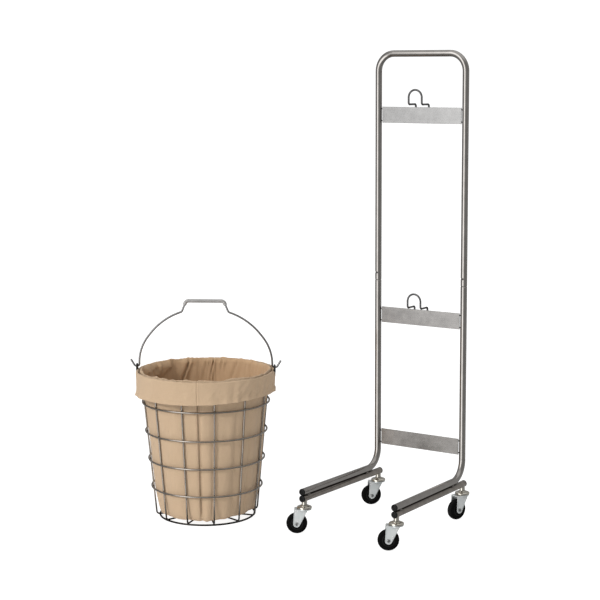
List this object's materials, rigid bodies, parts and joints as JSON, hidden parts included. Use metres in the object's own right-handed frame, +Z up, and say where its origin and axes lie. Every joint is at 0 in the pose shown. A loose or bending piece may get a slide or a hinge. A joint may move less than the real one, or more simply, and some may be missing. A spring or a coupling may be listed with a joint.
{
  "type": "linen trolley",
  "caption": "Narrow tube stand on swivel casters with flat crossbars and wire hooks, and its round wire basket with a bail and a folded cloth liner.",
  "frame": {"origin": "bottom centre of the box around the whole object, on the floor", "axes": "+Z up, +X along the crossbars to the right as seen from the front, -Y towards the front ends of the feet"},
  "size_m": [0.7382, 0.4964, 1.13],
  "materials": {
    "frame_tube": "satin grey metallic coat, brushed lengthways",
    "crossbar_steel": "flat bar, brushed, satin grey",
    "weld_bead": "coated weld bead",
    "hook_wire": "dark grey coated round wire",
    "cap_plastic": "black moulded plastic",
    "zinc_plate": "bright zinc plate",
    "bearing_steel": "polished balls",
    "hub_plastic": "black moulded plastic",
    "tyre_rubber": "black solid rubber",
    "basket_wire": "satin grey metallic coat on round wire",
    "bail_wire": "satin grey metallic coat on round wire",
    "grip_metal": "light grey satin sleeve",
    "liner_canvas": "beige cotton canvas, plain weave"
  },
  "bodies": {
    "stand": {"upper_frame": "frame_tube", "left_side_tube": "frame_tube", "right_side_tube": "frame_tube", "left_foot_rail": "frame_tube", "right_foot_rail": "frame_tube", "crossbar_welds": "weld_bead", "middle_hook": "hook_wire", "upper_hook": "hook_wire", "hook_welds": "weld_bead", "foot_welds": "weld_bead", "foot_caps": "cap_plastic", "stem_sockets": "frame_tube", "king_pins": "zinc_plate", "race_caps": "zinc_plate", "lower_crossbar": "crossbar_steel", "middle_crossbar": "crossbar_steel", "upper_crossbar": "crossbar_steel"},
    "front_left_swivel": {"front_left_fork": "zinc_plate", "front_left_balls": "bearing_steel", "front_left_axle": "zinc_plate"},
    "front_left_wheel": {"front_left_hub": "hub_plastic", "front_left_tyre": "tyre_rubber"},
    "front_right_swivel": {"front_right_fork": "zinc_plate", "front_right_balls": "bearing_steel", "front_right_axle": "zinc_plate"},
    "front_right_wheel": {"front_right_hub": "hub_plastic", "front_right_tyre": "tyre_rubber"},
    "rear_left_swivel": {"rear_left_fork": "zinc_plate", "rear_left_balls": "bearing_steel", "rear_left_axle": "zinc_plate"},
    "rear_left_wheel": {"rear_left_hub": "hub_plastic", "rear_left_tyre": "tyre_rubber"},
    "rear_right_swivel": {"rear_right_fork": "zinc_plate", "rear_right_balls": "bearing_steel", "rear_right_axle": "zinc_plate"},
    "rear_right_wheel": {"rear_right_hub": "hub_plastic", "rear_right_tyre": "tyre_rubber"},
    "basket": {"basket_ribs": "basket_wire", "base_ring": "basket_wire", "inner_base_ring": "basket_wire", "left_ear": "basket_wire", "right_ear": "basket_wire", "liner": "liner_canvas", "lowest_hoop": "basket_wire", "lower_hoop": "basket_wire", "upper_hoop": "basket_wire", "highest_hoop": "basket_wire", "rim_hoop": "basket_wire"},
    "bail": {"bail_wire": "bail_wire", "grip_sleeve": "grip_metal"}
  },
  "joints": [
    {"name": "front_left_swivel_turn", "type": "hinge", "parent": "stand", "child": "front_left_swivel", "pos_m": [0.0986, -0.09039, 0.06], "axis": [0, 0, 1], "continuous": true},
    {"name": "front_left_wheel_roll", "type": "hinge", "parent": "front_left_swivel", "child": "front_left_wheel", "pos_m": [0.08333, -0.09992, 0.025], "axis": [0.5299, -0.848, 0], "continuous": true},
    {"name": "front_right_swivel_turn", "type": "hinge", "parent": "stand", "child": "front_right_swivel", "pos_m": [0.3514, -0.09039, 0.06], "axis": [0, 0, 1], "continuous": true},
    {"name": "front_right_wheel_roll", "type": "hinge", "parent": "front_right_swivel", "child": "front_right_wheel", "pos_m": [0.33648, -0.10045, 0.025], "axis": [0.5592, -0.829, 0], "continuous": true},
    {"name": "rear_left_swivel_turn", "type": "hinge", "parent": "stand", "child": "rear_left_swivel", "pos_m": [0.10504, 0.23055, 0.06], "axis": [0, 0, 1], "continuous": true},
    {"name": "rear_left_wheel_roll", "type": "hinge", "parent": "rear_left_swivel", "child": "rear_left_wheel", "pos_m": [0.09209, 0.21805, 0.025], "axis": [0.6947, -0.7193, 0], "continuous": true},
    {"name": "rear_right_swivel_turn", "type": "hinge", "parent": "stand", "child": "rear_right_swivel", "pos_m": [0.34496, 0.23055, 0.06], "axis": [0, 0, 1], "continuous": true},
    {"name": "rear_right_wheel_roll", "type": "hinge", "parent": "rear_right_swivel", "child": "rear_right_wheel", "pos_m": [0.3388, 0.21363, 0.025], "axis": [0.9397, -0.342, 0], "continuous": true},
    {"name": "basket_lift", "type": "slide", "parent": "stand", "child": "basket", "axis": [0, 0, 1], "range_m": [0, 0.45]},
    {"name": "bail_swing", "type": "hinge", "parent": "basket", "child": "bail", "pos_m": [-0.1993, -0.07845, 0.3689], "axis": [0.866, 0.5, 0], "range_deg": [-90, 90]}
  ]
}
